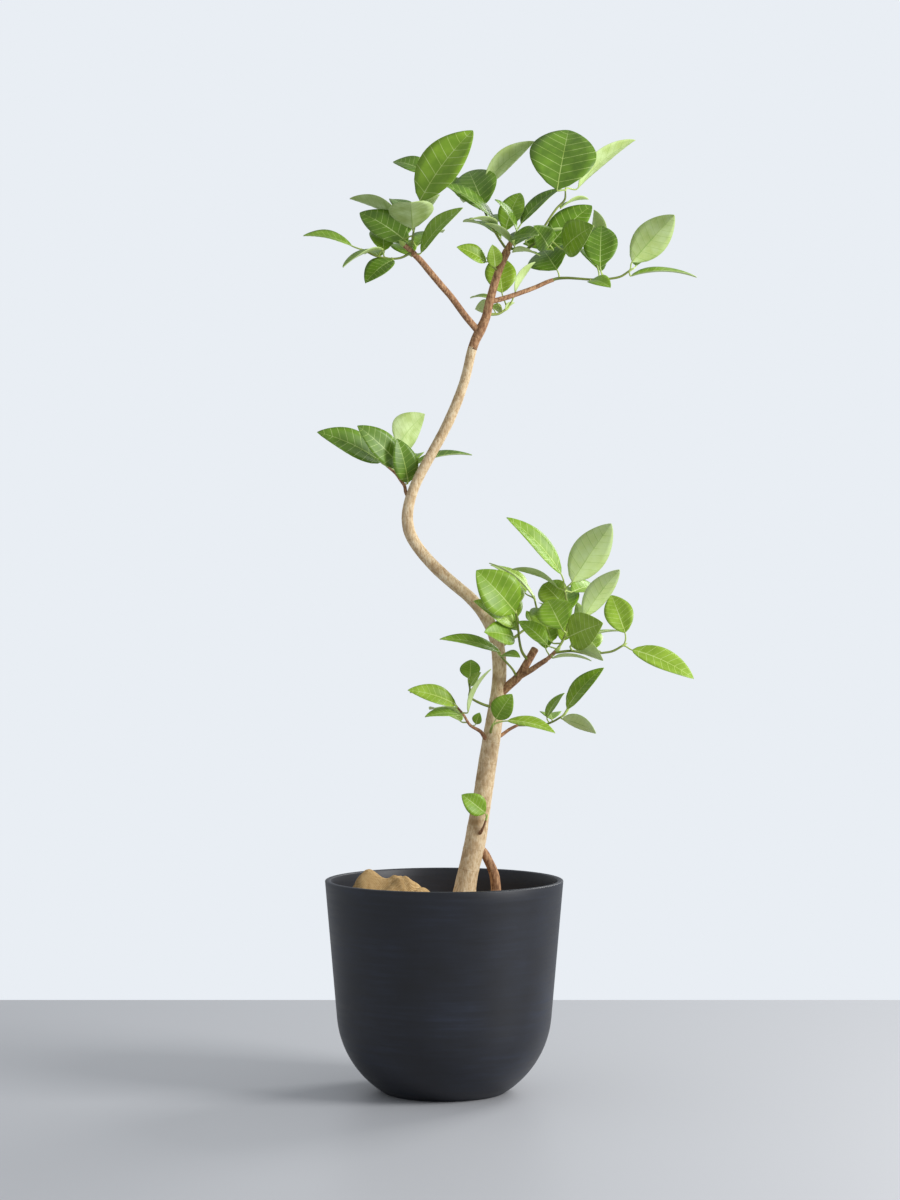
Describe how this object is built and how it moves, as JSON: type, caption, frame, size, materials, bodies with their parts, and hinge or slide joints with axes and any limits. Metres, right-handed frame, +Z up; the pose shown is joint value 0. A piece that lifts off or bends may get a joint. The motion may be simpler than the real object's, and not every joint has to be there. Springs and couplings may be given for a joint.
{
  "type": "potted council tree",
  "caption": "Young council tree with a winding pale stem and glossy oval leaves, in a tall round-bottomed charcoal planter topped with bunched jute cloth.",
  "frame": {"origin": "middle of the planter's flat underside", "axes": "+Z up, +X to the right of someone who faces the plant, +Y away from them"},
  "size_m": [0.4909, 0.2978, 1.2073],
  "materials": {
    "pot": "matte, faintly brushed resin",
    "soil": "rough potting mix",
    "jute": "coarse open weave",
    "bark": "smooth ringed bark",
    "foliage": "satin leaves"
  },
  "bodies": {
    "root": {"pot": "pot", "soil": "soil", "cover_cloth": "jute", "aerial_root": "bark", "trunk_lower": "bark", "trunk_middle": "bark", "trunk_upper": "bark", "leader": "bark", "bough_left": "bark", "bough_right": "bark", "bough_lower": "bark", "bough_lower_right": "bark", "foliage_left": "foliage", "foliage_top": "foliage", "foliage_top_back": "foliage", "foliage_top_side": "foliage", "foliage_right": "foliage", "foliage_middle": "foliage", "foliage_lower_tip": "foliage", "foliage_lower_inner": "foliage", "foliage_lower_back": "foliage", "foliage_lower_right": "foliage", "foliage_low_left": "foliage", "foliage_low_twig": "foliage", "foliage_low_front": "foliage", "foliage_low_right": "foliage", "foliage_trunk_sprig": "foliage"}
  },
  "joints": []
}
